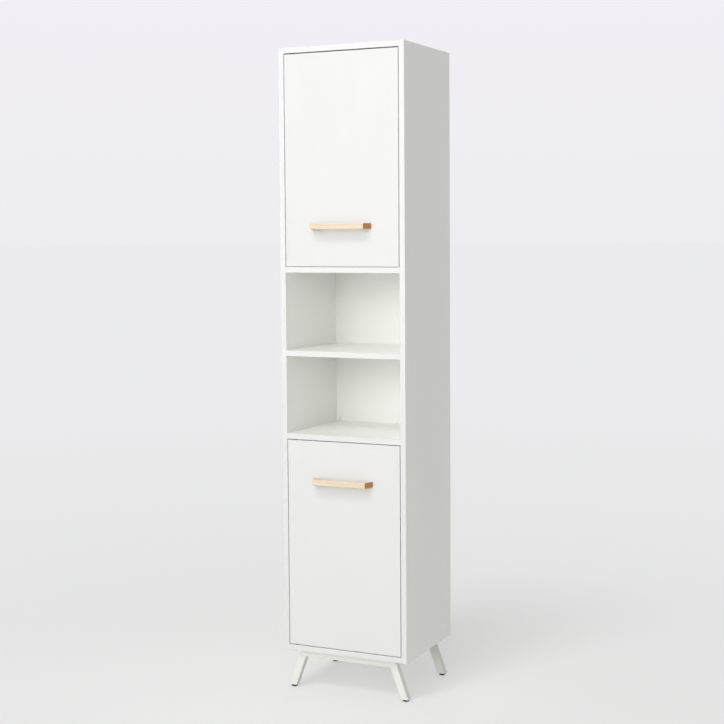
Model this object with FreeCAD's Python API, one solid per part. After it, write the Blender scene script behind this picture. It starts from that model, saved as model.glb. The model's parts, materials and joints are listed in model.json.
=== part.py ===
import FreeCAD, Part
import math
import os

# A tall, narrow bathroom cabinet on a splayed steel stand, in millimetres.
# X runs along the front from left to right, Y from front to back, Z up.
# The origin lies on the floor, under the middle of the cabinet's whole box, handles included.

os.makedirs("parts", exist_ok=True)
Vector = FreeCAD.Vector
ALONG_X = Vector(1, 0, 0)
ALONG_Y = Vector(0, 1, 0)
ALONG_Z = Vector(0, 0, 1)
SIDES = (-1, 1)

# --- driving dimensions: carcass ---
cabinet_width = 360.0
cabinet_depth = 310.0
board = 15.0
cupboard_height = 559.0
niche_height = 207.0
board_rounding = 0.5
back_thickness = 3.0
back_setback = 7.0
groove_depth = 6.0
groove_slip = 0.1

# --- driving dimensions: board joints ---
fitting_setback = 40.0
dowel_offset = 32.0
cam_radius = 7.5
cam_depth = 12.0
cam_slip = 0.1
cam_from_end = 24.0
bolt_radius = 2.45
bolt_head_radius = 3.4
bolt_head_length = 3.0
bolt_slip = 0.1
bolt_bore_radius = 4.0
bolt_seat_depth = 10.0
dowel_radius = 4.0
dowel_length = 28.0
dowel_in_side = 10.0
dowel_slip = 0.05
hole_spare = 0.5

# --- driving dimensions: loose shelves ---
shelf_side_slip = 1.0
shelf_back_slip = 2.0
pin_radius = 2.5
pin_slip = 0.05
pin_hole_depth = 9.0
pin_reach = 8.0
pin_collar_radius = 4.0
pin_collar = 1.2
pin_rear_setback = 45.0
pin_pitch = 32.0

# --- driving dimensions: doors ---
door_thickness = 15.0
door_gap = 2.0
upper_door_drop = 0.8
door_rounding = 0.8

# --- driving dimensions: pivot hinges, in the top and bottom edges of each door ---
pivot_from_edge = 20.0
pivot_pin_radius = 3.0
pivot_slip = 0.05
pivot_in_bush = 9.0
pivot_in_door = 12.0
hinge_plate_length = 44.0
hinge_plate_width = 9.0
hinge_plate_thickness = 2.0
hinge_plate_lead = 8.0
hinge_screw_first = 12.0
hinge_screw_pitch = 12.0
bush_radius = 5.0
bush_flange_radius = 6.0
bush_flange = 0.8
bush_length = 11.0
thrust_gap = 0.1
collar_radius = 4.6
pivot_pin_ease = 0.6
hinge_plate_round = 3.0
swing_room = 2.5

# --- driving dimensions: handles ---
handle_front_length = 153.0
handle_back_length = 173.0
handle_height = 15.0
handle_projection = 30.0
handle_bar = 12.0
handle_foot = 19.0
handle_easing = 1.2
handle_inner_round = 4.0
handle_from_edge = 105.0
same_line = 0.01

# --- driving dimensions: magnetic catches ---
catch_width = 14.0
catch_depth = 15.0
catch_body_height = 22.0
catch_ear_height = 42.0
catch_ear_thickness = 3.0
catch_gap = 0.2
catch_from_edge = 70.0
magnet_depth = 9.0
magnet_height = 16.0
magnet_thickness = 4.0
pole_thickness = 1.2
pole_reach = 0.6
pocket_slip = 0.1
strike_width = 10.0
strike_thickness = 1.2
strike_head_radius = 3.0
strike_head_height = 0.9
strike_edge = 1.0
strike_round = 2.5
catch_round = 1.0
catch_ear_round = 3.0

# --- driving dimensions: stand ---
stand_height = 108.0
tube = 20.0
tube_wall = 1.5
tube_rounding = 1.5
access_hole_radius = 4.5
splay_angle = 20.0
frame_setback = 18.0
leg_inset = 52.0
rail_screw_inset = 38.0
plug_length = 18.0
plug_slip = 0.1
glide_radius = 8.5
glide_height = 6.0
glide_dome = 3.0
glide_crown = 1.0
glide_stem_radius = 3.0
glide_stem = 12.0

# --- driving dimensions: screws ---
screw_radius = 1.75
screw_head_radius = 3.5
screw_head_height = 2.0
screw_through_slip = 0.4
handle_screw_radius = 2.0
handle_screw_in = 13.0
stand_screw_in = 11.0
plate_screw_length = 16.0
catch_screw_in = 11.0
strike_screw_in = 8.0
bracket_screw_in = 11.0
driver_slot = 1.0

# --- driving dimensions: fixing to the wall ---
bracket_width = 40.0
bracket_leg = 30.0
bracket_thickness = 2.0
bracket_bend = 3.0
bracket_screw_spacing = 24.0
bracket_hole_reach = 18.0
wall_hole_radius = 3.25
back_hole_radius = 4.0
ring_radius = 5.5
ring_thickness = 1.6
ring_from_side = 13.0
ring_above_shelf = 6.5

# --- places that follow from the sizes ---
carcass_height = 5 * board + 2 * cupboard_height + 2 * niche_height
total_height = stand_height + carcass_height
front = handle_projection - (cabinet_depth + handle_projection) / 2
rear = front + cabinet_depth
half_width = cabinet_width / 2
inner_half = half_width - board
back_front = rear - back_setback - back_thickness
back_rear = rear - back_setback

bottom_z = stand_height
lower_cupboard_z = bottom_z + board
lower_shelf_z = lower_cupboard_z + cupboard_height
lower_niche_z = lower_shelf_z + board
middle_shelf_z = lower_niche_z + niche_height
upper_niche_z = middle_shelf_z + board
upper_shelf_z = upper_niche_z + niche_height
upper_cupboard_z = upper_shelf_z + board
top_z = upper_cupboard_z + cupboard_height

# Each board between the sides: its name, its underside, and the face that its cams open on.
CROSS_BOARDS = (
    ("bottom_panel", bottom_z, -1),
    ("lower_fixed_shelf", lower_shelf_z, -1),
    ("middle_shelf", middle_shelf_z, -1),
    ("upper_fixed_shelf", upper_shelf_z, 1),
    ("top_panel", top_z, -1),
)
fitting_rows = (front + fitting_setback, back_front - fitting_setback)
dowel_rows = (fitting_rows[0] + dowel_offset, fitting_rows[1] - dowel_offset)

door_left = -inner_half + door_gap
door_right = inner_half - door_gap
door_height = cupboard_height - 2 * door_gap
door_back = front + door_thickness
pivot_x = door_left + pivot_from_edge
pivot_y = front + door_thickness / 2
# The door's tail swings into the cupboard about the pivot, as far as its corner reaches.
tail_reach = math.hypot(pivot_from_edge, door_thickness / 2)
loose_shelf_front = pivot_y + tail_reach + swing_room

# Each door: its name, the floor of its cupboard, its own lower edge, its handle and its catch.
upper_door_z = upper_cupboard_z + door_gap - upper_door_drop
lower_door_z = lower_cupboard_z + door_gap
DOORS = (
    {"name": "upper", "floor": upper_cupboard_z, "z": upper_door_z,
     "handle_z": upper_door_z + handle_from_edge,
     "catch_z": upper_cupboard_z + cupboard_height - catch_from_edge},
    {"name": "lower", "floor": lower_cupboard_z, "z": lower_door_z,
     "handle_z": lower_door_z + door_height - handle_from_edge,
     "catch_z": lower_cupboard_z + catch_from_edge},
)

pin_rows = (loose_shelf_front + pin_rear_setback / 2, back_front - pin_rear_setback)
catch_front = door_back + strike_thickness + catch_gap
catch_middle_x = inner_half - catch_width + strike_width / 2
frame_y = (front + frame_setback, rear - frame_setback - tube)
leg_axis_at_board = half_width - leg_inset
rail_screw_x = leg_axis_at_board - rail_screw_inset

# The strike plate's screws lie just outside the body of the catch.
strike_screw_pitch = catch_body_height + 2 * (strike_head_radius + strike_edge)
strike_length = strike_screw_pitch + 2 * (strike_head_radius + strike_edge)


# --- shapes used by many pieces ---
def block(x0, x1, y0, y1, z0, z1):
    return Part.makeBox(x1 - x0, y1 - y0, z1 - z0, Vector(x0, y0, z0))


def rod(radius, length, start, direction):
    return Part.makeCylinder(radius, length, start, direction)


def turned(profile, start, direction):
    """A solid of revolution. The profile is a list of (radius, distance) from the start."""
    points = [Vector(radius, 0, along) for radius, along in profile]
    face = Part.Face(Part.makePolygon(points + [points[0]]))
    solid = face.revolve(Vector(0, 0, 0), ALONG_Z, 360)
    turn = FreeCAD.Rotation(ALONG_Z, direction)
    solid.Placement = FreeCAD.Placement(start, turn)
    return solid


def slab(outline, y0, y1):
    """A flat outline of (x, z) points, given a thickness along Y."""
    points = [Vector(x, y0, z) for x, z in outline]
    face = Part.Face(Part.makePolygon(points + [points[0]]))
    return face.extrude(Vector(0, y1 - y0, 0))


def edges_along(shape, direction, keep=lambda middle: True):
    found = []
    for edge in shape.Edges:
        along = edge.tangentAt(edge.FirstParameter)
        if abs(abs(along.dot(direction)) - 1) < 1e-6 and keep(edge.CenterOfMass):
            found.append(edge)
    return found


def save(name, *solids):
    shape = solids[0] if len(solids) == 1 else Part.makeCompound(list(solids))
    shape.exportStep("parts/" + name + ".step")


def screw(start, direction, length, radius=screw_radius):
    """A countersunk screw. Its head's face lies at the start and its tip points along direction."""
    head = screw_head_radius
    cone = screw_head_height
    body = turned([(0, 0), (head, 0), (radius, cone), (radius, length - radius), (0, length)],
                  start, direction)
    slot = Part.makeBox(2 * head, driver_slot, driver_slot, Vector(-head, -driver_slot / 2, 0))
    slot.Placement = FreeCAD.Placement(start, FreeCAD.Rotation(ALONG_Z, direction))
    return body.cut(slot)


def screw_hole(start, direction, length, radius=screw_radius):
    """The hole that the same screw leaves, with its countersink."""
    head = screw_head_radius
    cone = screw_head_height
    return turned([(0, 0), (head, 0), (radius, cone), (radius, length + hole_spare),
                   (0, length + hole_spare)], start, direction)


# --- board joints: cam locks with bolts, and dowels ---
def joint_places(rows):
    """Every place in the given rows, as the side, the board's underside, its cam face and y."""
    return [(side, z, face, y) for _, z, face in CROSS_BOARDS for side in SIDES for y in rows]


def cam_hole(side, z, face, y):
    surface = z + board if face > 0 else z
    start = Vector(side * (inner_half - cam_from_end), y, surface)
    return rod(cam_radius, cam_depth + hole_spare, start, ALONG_Z * -face)


def bolt_bore(side, z, y):
    return rod(bolt_bore_radius, cam_from_end, Vector(side * inner_half, y, z + board / 2),
               ALONG_X * -side)


def pocket_round(middle, half_x, half_yz):
    """A box-shaped pocket round a point on a bolt's axis."""
    return block(middle.x - half_x, middle.x + half_x, middle.y - half_yz, middle.y + half_yz,
                 middle.z - half_yz, middle.z + half_yz)


def cam_lock(side, z, face, y):
    """A round die-cast cam. The bolt's head sits in its chamber, behind the two jaws."""
    surface = z + board if face > 0 else z
    start = Vector(side * (inner_half - cam_from_end), y, surface)
    body = rod(cam_radius - cam_slip, cam_depth, start, ALONG_Z * -face)
    middle = Vector(start.x, y, z + board / 2)
    chamber = pocket_round(middle, bolt_head_length / 2 + bolt_slip, bolt_head_radius + bolt_slip)
    neck = pocket_round(middle + ALONG_X * side * cam_radius / 2, cam_radius / 2,
                        bolt_radius + bolt_slip)
    across = block(start.x - cam_radius / 2, start.x + cam_radius / 2, y - driver_slot,
                   y + driver_slot, surface - driver_slot, surface + driver_slot)
    return body.cut([chamber, neck, across])


def cam_bolt(side, z, y):
    """The bolt that the cam draws in, from its seat in the side panel to its head in the cam."""
    head_end = bolt_seat_depth + cam_from_end + bolt_head_length / 2
    head_start = head_end - bolt_head_length
    profile = [(0, 0), (bolt_radius, 0), (bolt_radius, head_start),
               (bolt_head_radius, head_start), (bolt_head_radius, head_end), (0, head_end)]
    start = Vector(side * (inner_half + bolt_seat_depth), y, z + board / 2)
    return turned(profile, start, ALONG_X * -side)


def dowel(side, z, y):
    start = Vector(side * (inner_half + dowel_in_side), y, z + board / 2)
    return rod(dowel_radius, dowel_length, start, ALONG_X * -side)


def dowel_hole(side, z, y):
    start = Vector(side * (inner_half + dowel_in_side + hole_spare), y, z + board / 2)
    return rod(dowel_radius + dowel_slip, dowel_length + 2 * hole_spare, start, ALONG_X * -side)


# --- shelf pins for the loose shelves ---
def loose_shelf_z(door):
    return door["floor"] + (cupboard_height - board) / 2


def pin_height(door):
    return loose_shelf_z(door) - pin_radius - pin_slip


def pin_hole(side, y, z):
    return rod(pin_radius + pin_slip, pin_hole_depth, Vector(side * inner_half, y, z),
               ALONG_X * side)


def shelf_pin(side, y, z):
    inside = pin_hole_depth - hole_spare
    profile = [(0, -inside), (pin_radius, -inside), (pin_radius, 0), (pin_collar_radius, 0),
               (pin_collar_radius, pin_collar), (pin_radius, pin_collar), (pin_radius, pin_reach),
               (0, pin_reach)]
    collar_top = block(-pin_collar_radius, pin_collar_radius, pin_radius, pin_collar_radius,
                       -pin_hole_depth, pin_reach)
    pin = turned(profile, Vector(0, 0, 0), ALONG_Z).cut(collar_top)
    turn = FreeCAD.Rotation(ALONG_Y * -side, ALONG_Z, ALONG_X * -side)
    pin.Placement = FreeCAD.Placement(Vector(side * inner_half, y, z), turn)
    return pin


# --- carcass ---
def side_panel(side):
    x0 = side * inner_half
    x1 = side * half_width
    panel = block(min(x0, x1), max(x0, x1), front, rear, bottom_z, total_height)
    outer = edges_along(panel, ALONG_Y, lambda middle: abs(middle.x) > inner_half + board / 2)
    panel = panel.makeFillet(board_rounding,
                             edges_along(panel, ALONG_Z) + edges_along(panel, ALONG_X) + outer)
    groove_floor = side * (inner_half + groove_depth)
    holes = [block(min(x0, groove_floor), max(x0, groove_floor), back_front - groove_slip,
                   back_rear + groove_slip, bottom_z + board - groove_depth,
                   top_z + groove_depth)]
    holes += [rod(bolt_radius, bolt_seat_depth + hole_spare,
                  Vector(x0, y, z + board / 2), ALONG_X * side)
              for place, z, _, y in joint_places(fitting_rows) if place == side]
    holes += [dowel_hole(side, z, y)
              for place, z, _, y in joint_places(dowel_rows) if place == side]
    for door in DOORS:
        holes += [pin_hole(side, y, pin_height(door) + step * pin_pitch)
                  for y in pin_rows for step in (-1, 0, 1)]
        if side > 0:
            holes += [rod(screw_radius, catch_screw_in + hole_spare,
                          Vector(x0, catch_screw_y(), z), ALONG_X)
                      for z in catch_screw_heights(door)]
    return panel.cut(holes)


def cross_board(name, z, face):
    """A board between the sides. The top and bottom run to the rear and are grooved."""
    outer_board = name in ("top_panel", "bottom_panel")
    panel = block(-inner_half, inner_half, front, rear if outer_board else back_front,
                  z, z + board)
    panel = panel.makeFillet(board_rounding, edges_along(panel, ALONG_X))
    holes = []
    if outer_board:
        inner_face = z + board if name == "bottom_panel" else z
        floor = inner_face - groove_depth if name == "bottom_panel" else inner_face + groove_depth
        holes.append(block(-inner_half, inner_half, back_front - groove_slip,
                           back_rear + groove_slip, min(inner_face, floor),
                           max(inner_face, floor)))
    for side in SIDES:
        for y in fitting_rows:
            holes += [cam_hole(side, z, face, y), bolt_bore(side, z, y)]
        holes += [dowel_hole(side, z, y) for y in dowel_rows]
    holes += [bush_hole(door, up) for door in DOORS for up in SIDES
              if bush_board(door, up) == name]
    if name == "bottom_panel":
        holes += [rod(screw_radius, stand_screw_in + hole_spare, Vector(x, y, z), ALONG_Z)
                  for x, y in stand_screw_places()]
    if name == "top_panel":
        holes += [rod(screw_radius, bracket_screw_in + hole_spare, Vector(x, bracket_screw_y(), z),
                      ALONG_Z) for x in bracket_screw_xs()]
    return panel.cut(holes)


def back_panel():
    reach = inner_half + groove_depth - hole_spare
    panel = block(-reach, reach, back_front, back_rear,
                  bottom_z + board - groove_depth + hole_spare, top_z + groove_depth - hole_spare)
    holes = [rod(back_hole_radius, back_thickness, Vector(0, back_front, wall_hole_z()), ALONG_Y)]
    holes += [rod(wall_hole_radius, back_thickness, Vector(x, back_front, ring_z()), ALONG_Y)
              for x in ring_xs()]
    return panel.cut(holes)


def loose_shelf(door):
    z = loose_shelf_z(door)
    reach = inner_half - shelf_side_slip
    shelf = block(-reach, reach, loose_shelf_front, back_front - shelf_back_slip, z, z + board)
    return shelf.makeFillet(board_rounding, edges_along(shelf, ALONG_X))


def ring_xs():
    return [side * (inner_half - ring_from_side) for side in SIDES]


def ring_z():
    return lower_niche_z + ring_above_shelf


def hole_ring(x):
    """A thin collar round a wall screw's hole, on the back panel in the lower niche."""
    ease = ring_thickness / 2
    profile = [(wall_hole_radius, 0), (ring_radius, 0), (ring_radius, ease),
               (ring_radius - ease, ring_thickness), (wall_hole_radius, ring_thickness)]
    return turned(profile, Vector(x, back_front, ring_z()), ALONG_Y * -1)


# --- doors and their pivot hinges ---
def door_edge(door, up):
    return door["z"] + door_height if up > 0 else door["z"]


def carcass_face(door, up):
    return door["floor"] + cupboard_height if up > 0 else door["floor"]


def bush_board(door, up):
    names = {("upper", 1): "top_panel", ("upper", -1): "upper_fixed_shelf",
             ("lower", 1): "lower_fixed_shelf", ("lower", -1): "bottom_panel"}
    return names[(door["name"], up)]


def bush_hole(door, up):
    return rod(bush_radius, bush_length, Vector(pivot_x, pivot_y, carcass_face(door, up)),
               ALONG_Z * up)


def hinge_bush(door, up):
    """A flanged nylon bush in the carcass. The pin turns in it and its flange takes the thrust."""
    bore = pivot_pin_radius + pivot_slip
    profile = [(bore, -bush_flange), (bush_flange_radius, -bush_flange), (bush_flange_radius, 0),
               (bush_radius, 0), (bush_radius, bush_length), (bore, bush_length)]
    return turned(profile, Vector(pivot_x, pivot_y, carcass_face(door, up)), ALONG_Z * up)


def hinge_plate_blank(door, up):
    """The plate without its holes, which is also the recess that it lies in."""
    x0 = door_left + hinge_plate_lead
    edge = door_edge(door, up)
    inner = edge - up * hinge_plate_thickness
    blank = block(x0, x0 + hinge_plate_length, pivot_y - hinge_plate_width / 2,
                  pivot_y + hinge_plate_width / 2, min(edge, inner), max(edge, inner))
    return blank.makeFillet(hinge_plate_round, edges_along(blank, ALONG_Z))


def hinge_screw_places(door, up):
    return [Vector(pivot_x + hinge_screw_first + step * hinge_screw_pitch, pivot_y,
                   door_edge(door, up)) for step in (0, 1)]


def hinge_plate(door, up):
    plate = hinge_plate_blank(door, up)
    down = ALONG_Z * -up
    start = Vector(pivot_x, pivot_y, door_edge(door, up))
    holes = [rod(pivot_pin_radius, hinge_plate_thickness, start, down)]
    holes += [screw_hole(place, down, plate_screw_length)
              for place in hinge_screw_places(door, up)]
    return plate.cut(holes)


def hinge_pin(door, up):
    """A steel pin through the plate. Its collar fills the gap down to the bush's flange."""
    edge = door_edge(door, up)
    gap = abs(carcass_face(door, up) - edge)
    collar = gap - bush_flange - thrust_gap
    end = gap + pivot_in_bush
    profile = [(0, -pivot_in_door), (pivot_pin_radius, -pivot_in_door), (pivot_pin_radius, 0),
               (collar_radius, 0), (collar_radius, collar), (pivot_pin_radius, collar),
               (pivot_pin_radius, end - pivot_pin_ease), (pivot_pin_radius - pivot_pin_ease, end),
               (0, end)]
    return turned(profile, Vector(pivot_x, pivot_y, edge), ALONG_Z * up)


def door_panel(door):
    panel = block(door_left, door_right, front, door_back, door["z"], door["z"] + door_height)
    panel = panel.makeFillet(door_rounding, panel.Edges)
    holes = []
    for up in SIDES:
        down = ALONG_Z * -up
        holes.append(hinge_plate_blank(door, up))
        holes.append(rod(pivot_pin_radius, pivot_in_door + hole_spare,
                         Vector(pivot_x, pivot_y, door_edge(door, up)), down))
        holes += [screw_hole(place, down, plate_screw_length)
                  for place in hinge_screw_places(door, up)]
    holes += [screw_hole(Vector(x, door_back, door["handle_z"]), ALONG_Y * -1, door_thickness,
                         handle_screw_radius + screw_through_slip) for x in handle_screw_xs()]
    holes += [rod(screw_radius, strike_screw_in, Vector(catch_middle_x, door_back, z),
                  ALONG_Y * -1) for z in strike_screw_heights(door)]
    return panel.cut(holes)


# --- handles ---
def handle_flare():
    """How far each end leans outwards from the front of the handle to the door."""
    return (handle_back_length - handle_front_length) / 2


def handle_inner_half(depth):
    """Half the finger gap's length, at a depth measured back from the handle's front."""
    return handle_front_length / 2 - handle_foot + handle_flare() * depth / handle_projection


def handle_screw_xs():
    depth = handle_projection - handle_screw_in / 2
    outer = handle_front_length / 2 + handle_flare() * depth / handle_projection
    middle = (outer + handle_inner_half(depth)) / 2
    return [-middle, middle]


def handle(door):
    """A one-piece wooden bridge: in plan a trapezoid whose two feet lean outwards to the door."""
    y_front = front - handle_projection
    y_inner = y_front + handle_bar
    bottom = door["handle_z"] - handle_height / 2
    outer_front = handle_front_length / 2
    outer_back = handle_back_length / 2
    gap_front = handle_inner_half(handle_bar)
    gap_back = handle_inner_half(handle_projection)
    plan = [(-outer_front, y_front), (outer_front, y_front), (outer_back, front),
            (gap_back, front), (gap_front, y_inner), (-gap_front, y_inner), (-gap_back, front),
            (-outer_back, front)]
    points = [Vector(x, y, bottom) for x, y in plan]
    body = Part.Face(Part.makePolygon(points + [points[0]])).extrude(Vector(0, 0, handle_height))
    inner = edges_along(body, ALONG_Z, lambda middle: abs(middle.y - y_inner) < same_line)
    body = body.makeFillet(handle_inner_round, inner)
    outer = edges_along(body, ALONG_Z, lambda middle: abs(middle.y - y_front) < same_line)
    body = body.makeFillet(handle_easing, outer)
    rims = [edge for edge in body.Edges
            if abs(abs(edge.CenterOfMass.z - door["handle_z"]) - handle_height / 2) < same_line
            and edge.CenterOfMass.y < front - same_line]
    body = body.makeFillet(handle_easing, rims)
    return body.cut([rod(handle_screw_radius, handle_screw_in + hole_spare,
                         Vector(x, front, door["handle_z"]), ALONG_Y * -1)
                     for x in handle_screw_xs()])


def handle_screws(door):
    return [screw(Vector(x, door_back, door["handle_z"]), ALONG_Y * -1,
                  door_thickness + handle_screw_in, handle_screw_radius)
            for x in handle_screw_xs()]


# --- magnetic catches ---
def catch_screw_y():
    return catch_front + catch_depth / 2


def catch_screw_heights(door):
    offset = (catch_body_height + catch_ear_height) / 4
    return [door["catch_z"] - offset, door["catch_z"] + offset]


def strike_screw_heights(door):
    return [door["catch_z"] + side * strike_screw_pitch / 2 for side in SIDES]


def catch_pack_half():
    return magnet_thickness / 2 + pole_thickness


def catch_housing(door):
    z = door["catch_z"]
    body = block(inner_half - catch_width, inner_half, catch_front + pole_reach,
                 catch_front + catch_depth, z - catch_body_height / 2, z + catch_body_height / 2)
    free = edges_along(body, ALONG_Y, lambda middle: middle.x < inner_half - catch_round)
    body = body.makeFillet(catch_round, free)
    ears = block(inner_half - catch_ear_thickness, inner_half, catch_front + pole_reach,
                 catch_front + catch_depth, z - catch_ear_height / 2, z + catch_ear_height / 2)
    ears = ears.makeFillet(catch_ear_round, edges_along(ears, ALONG_X))
    pocket_half = catch_pack_half() + pocket_slip
    height_half = magnet_height / 2 + pocket_slip
    pocket = block(catch_middle_x - pocket_half, catch_middle_x + pocket_half, catch_front,
                   catch_front + magnet_depth + pocket_slip, z - height_half, z + height_half)
    holes = [screw_hole(Vector(inner_half - catch_ear_thickness, catch_screw_y(), height), ALONG_X,
                        catch_ear_thickness) for height in catch_screw_heights(door)]
    return body.fuse(ears).removeSplitter().cut([pocket] + holes)


def catch_magnets(door):
    """The magnet between its two steel pole plates, whose edges stand proud of it."""
    z = door["catch_z"]
    pieces = [block(catch_middle_x - magnet_thickness / 2, catch_middle_x + magnet_thickness / 2,
                    catch_front + pole_reach, catch_front + magnet_depth,
                    z - magnet_height / 2, z + magnet_height / 2)]
    for side in SIDES:
        inner = catch_middle_x + side * magnet_thickness / 2
        outer = catch_middle_x + side * catch_pack_half()
        pieces.append(block(min(inner, outer), max(inner, outer), catch_front,
                            catch_front + magnet_depth, z - magnet_height / 2,
                            z + magnet_height / 2))
    return pieces


def strike_plate(door):
    z = door["catch_z"]
    plate = block(catch_middle_x - strike_width / 2, catch_middle_x + strike_width / 2, door_back,
                  door_back + strike_thickness, z - strike_length / 2, z + strike_length / 2)
    plate = plate.makeFillet(strike_round, edges_along(plate, ALONG_Y))
    return plate.cut([rod(screw_radius, strike_thickness, Vector(catch_middle_x, door_back, height),
                          ALONG_Y) for height in strike_screw_heights(door)])


def strike_screw(z):
    """A flat pan-head screw, low enough to pass the catch."""
    head = strike_head_height
    length = head + strike_thickness + strike_screw_in - hole_spare
    profile = [(0, 0), (strike_head_radius, 0), (strike_head_radius, head), (screw_radius, head),
               (screw_radius, length), (0, length)]
    start = Vector(catch_middle_x, door_back + strike_thickness + head, z)
    return turned(profile, start, ALONG_Y * -1)


# --- stand: two frames of square tube, each a rail and two splayed legs ---
splay = math.tan(math.radians(splay_angle))
half_across = tube / 2 / math.cos(math.radians(splay_angle))
wall_across = tube_wall / math.cos(math.radians(splay_angle))
rail_bottom = stand_height - tube


def leg_axis_x(z):
    return leg_axis_at_board + (stand_height - z) * splay


def leg_tube(side, y):
    """A square tube, mitred to its rail at the top and cut level above the floor."""
    outer = slab(leg_outline(side, half_across, stand_height, rail_bottom, glide_height),
                 y, y + tube)
    past = stand_height + tube
    inner = slab(leg_outline(side, half_across - wall_across, past, past, 0.0),
                 y + tube_wall, y + tube - tube_wall)
    outer = outer.makeFillet(tube_rounding, edges_along(outer, leg_direction(side)))
    return outer.cut(inner)


def leg_outline(side, half, outer_top, inner_top, low):
    """The splayed band of a leg: its outer and inner top corners, then its level lower end."""
    return [(side * (leg_axis_x(outer_top) + half), outer_top),
            (side * (leg_axis_x(inner_top) - half), inner_top),
            (side * (leg_axis_x(low) - half), low),
            (side * (leg_axis_x(low) + half), low)]


def leg_direction(side):
    angle = math.radians(splay_angle)
    return Vector(side * math.sin(angle), 0, -math.cos(angle))


def rail(y):
    """The square tube under the bottom panel, mitred at both ends."""
    top = leg_axis_x(stand_height) + half_across
    low = leg_axis_x(rail_bottom) - half_across
    outer = slab([(-top, stand_height), (-low, rail_bottom), (low, rail_bottom),
                  (top, stand_height)], y, y + tube)
    outer = outer.makeFillet(tube_rounding, edges_along(outer, ALONG_X))
    inner = block(-half_width, half_width, y + tube_wall, y + tube - tube_wall,
                  rail_bottom + tube_wall, stand_height - tube_wall)
    middle = y + tube / 2
    holes = [inner]
    for x in (-rail_screw_x, rail_screw_x):
        holes.append(rod(screw_radius + screw_through_slip, tube_wall,
                         Vector(x, middle, stand_height - tube_wall), ALONG_Z))
        holes.append(rod(access_hole_radius, tube_wall, Vector(x, middle, rail_bottom),
                         ALONG_Z))
    return outer.cut(holes)


def stand_screw_places():
    return [(x, y + tube / 2) for y in frame_y for x in (-rail_screw_x, rail_screw_x)]


def stand_screw(x, y):
    """A pan-head screw inside the rail, up into the bottom panel."""
    length = tube_wall + stand_screw_in
    profile = [(0, -screw_head_height), (screw_head_radius, -screw_head_height),
               (screw_head_radius, 0), (screw_radius, 0), (screw_radius, length), (0, length)]
    return turned(profile, Vector(x, y, stand_height - tube_wall), ALONG_Z)


def leg_plug(side, y):
    half = half_across - wall_across - plug_slip
    top = glide_height + plug_length
    plug = slab(leg_outline(side, half, top, top, glide_height), y + tube_wall + plug_slip,
                y + tube - tube_wall - plug_slip)
    stem = rod(glide_stem_radius, glide_stem + hole_spare,
               Vector(glide_x(side), y + tube / 2, glide_height), ALONG_Z)
    return plug.cut(stem)


def glide_x(side):
    return side * leg_axis_x(glide_height)


def glide(side, y):
    """A domed foot with a stem that presses up into the leg's plug."""
    profile = [(0, 0), (glide_radius - glide_dome, 0), (glide_radius - glide_crown, glide_crown),
               (glide_radius, glide_dome), (glide_radius, glide_height),
               (glide_stem_radius, glide_height), (glide_stem_radius, glide_height + glide_stem),
               (0, glide_height + glide_stem)]
    return turned(profile, Vector(glide_x(side), y + tube / 2, 0), ALONG_Z)


# --- bracket that holds the cabinet to the wall, inside under the top panel ---
def wall_hole_z():
    return top_z - bracket_hole_reach


def bracket_screw_xs():
    return [side * bracket_screw_spacing / 2 for side in SIDES]


def bracket_screw_y():
    return back_front - bracket_hole_reach


def corner_edge(shape):
    """The highest and rearmost of a block's long edges, where the bracket bends."""
    box = shape.BoundBox
    return edges_along(shape, ALONG_X, lambda middle: middle.y > box.Center.y
                       and middle.z > box.Center.z)


def wall_bracket():
    half = bracket_width / 2
    outer = block(-half, half, back_front - bracket_leg, back_front, top_z - bracket_leg, top_z)
    hollow = block(-half, half, back_front - bracket_leg, back_front - bracket_thickness,
                   top_z - bracket_leg, top_z - bracket_thickness)
    outer = outer.makeFillet(bracket_bend, corner_edge(outer))
    hollow = hollow.makeFillet(bracket_bend - bracket_thickness, corner_edge(hollow))
    holes = [hollow, rod(wall_hole_radius, bracket_thickness,
                         Vector(0, back_front - bracket_thickness, wall_hole_z()), ALONG_Y)]
    holes += [screw_hole(Vector(x, bracket_screw_y(), top_z - bracket_thickness), ALONG_Z,
                         bracket_thickness) for x in bracket_screw_xs()]
    return outer.cut(holes)


# --- build and save every piece ---
save("left_side_panel", side_panel(-1))
save("right_side_panel", side_panel(1))
for board_name, board_z, cam_face in CROSS_BOARDS:
    save(board_name, cross_board(board_name, board_z, cam_face))
save("back_panel", back_panel())
save("back_hole_rings", *[hole_ring(x) for x in ring_xs()])

save("cam_locks", *[cam_lock(*place) for place in joint_places(fitting_rows)])
save("cam_bolts", *[cam_bolt(side, z, y) for side, z, _, y in joint_places(fitting_rows)])
save("dowels", *[dowel(side, z, y) for side, z, _, y in joint_places(dowel_rows)])

for door in DOORS:
    name = door["name"]
    save(name + "_adjustable_shelf", loose_shelf(door))
    save(name + "_door", door_panel(door))
    save(name + "_hinge_plates", *[hinge_plate(door, up) for up in SIDES])
    save(name + "_hinge_pins", *[hinge_pin(door, up) for up in SIDES])
    save(name + "_hinge_screws", *[screw(place, ALONG_Z * -up, plate_screw_length)
                                   for up in SIDES for place in hinge_screw_places(door, up)])
    save(name + "_handle", handle(door))
    save(name + "_handle_screws", *handle_screws(door))
    save(name + "_strike_plate", strike_plate(door))
    save(name + "_strike_screws", *[strike_screw(z) for z in strike_screw_heights(door)])

save("shelf_pins", *[shelf_pin(side, y, pin_height(door))
                     for door in DOORS for side in SIDES for y in pin_rows])
save("hinge_bushes", *[hinge_bush(door, up) for door in DOORS for up in SIDES])
save("catch_housings", *[catch_housing(door) for door in DOORS])
save("catch_magnets", *[piece for door in DOORS for piece in catch_magnets(door)])
save("catch_screws", *[screw(Vector(inner_half - catch_ear_thickness, catch_screw_y(), z), ALONG_X,
                             catch_ear_thickness + catch_screw_in)
                       for door in DOORS for z in catch_screw_heights(door)])

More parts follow.
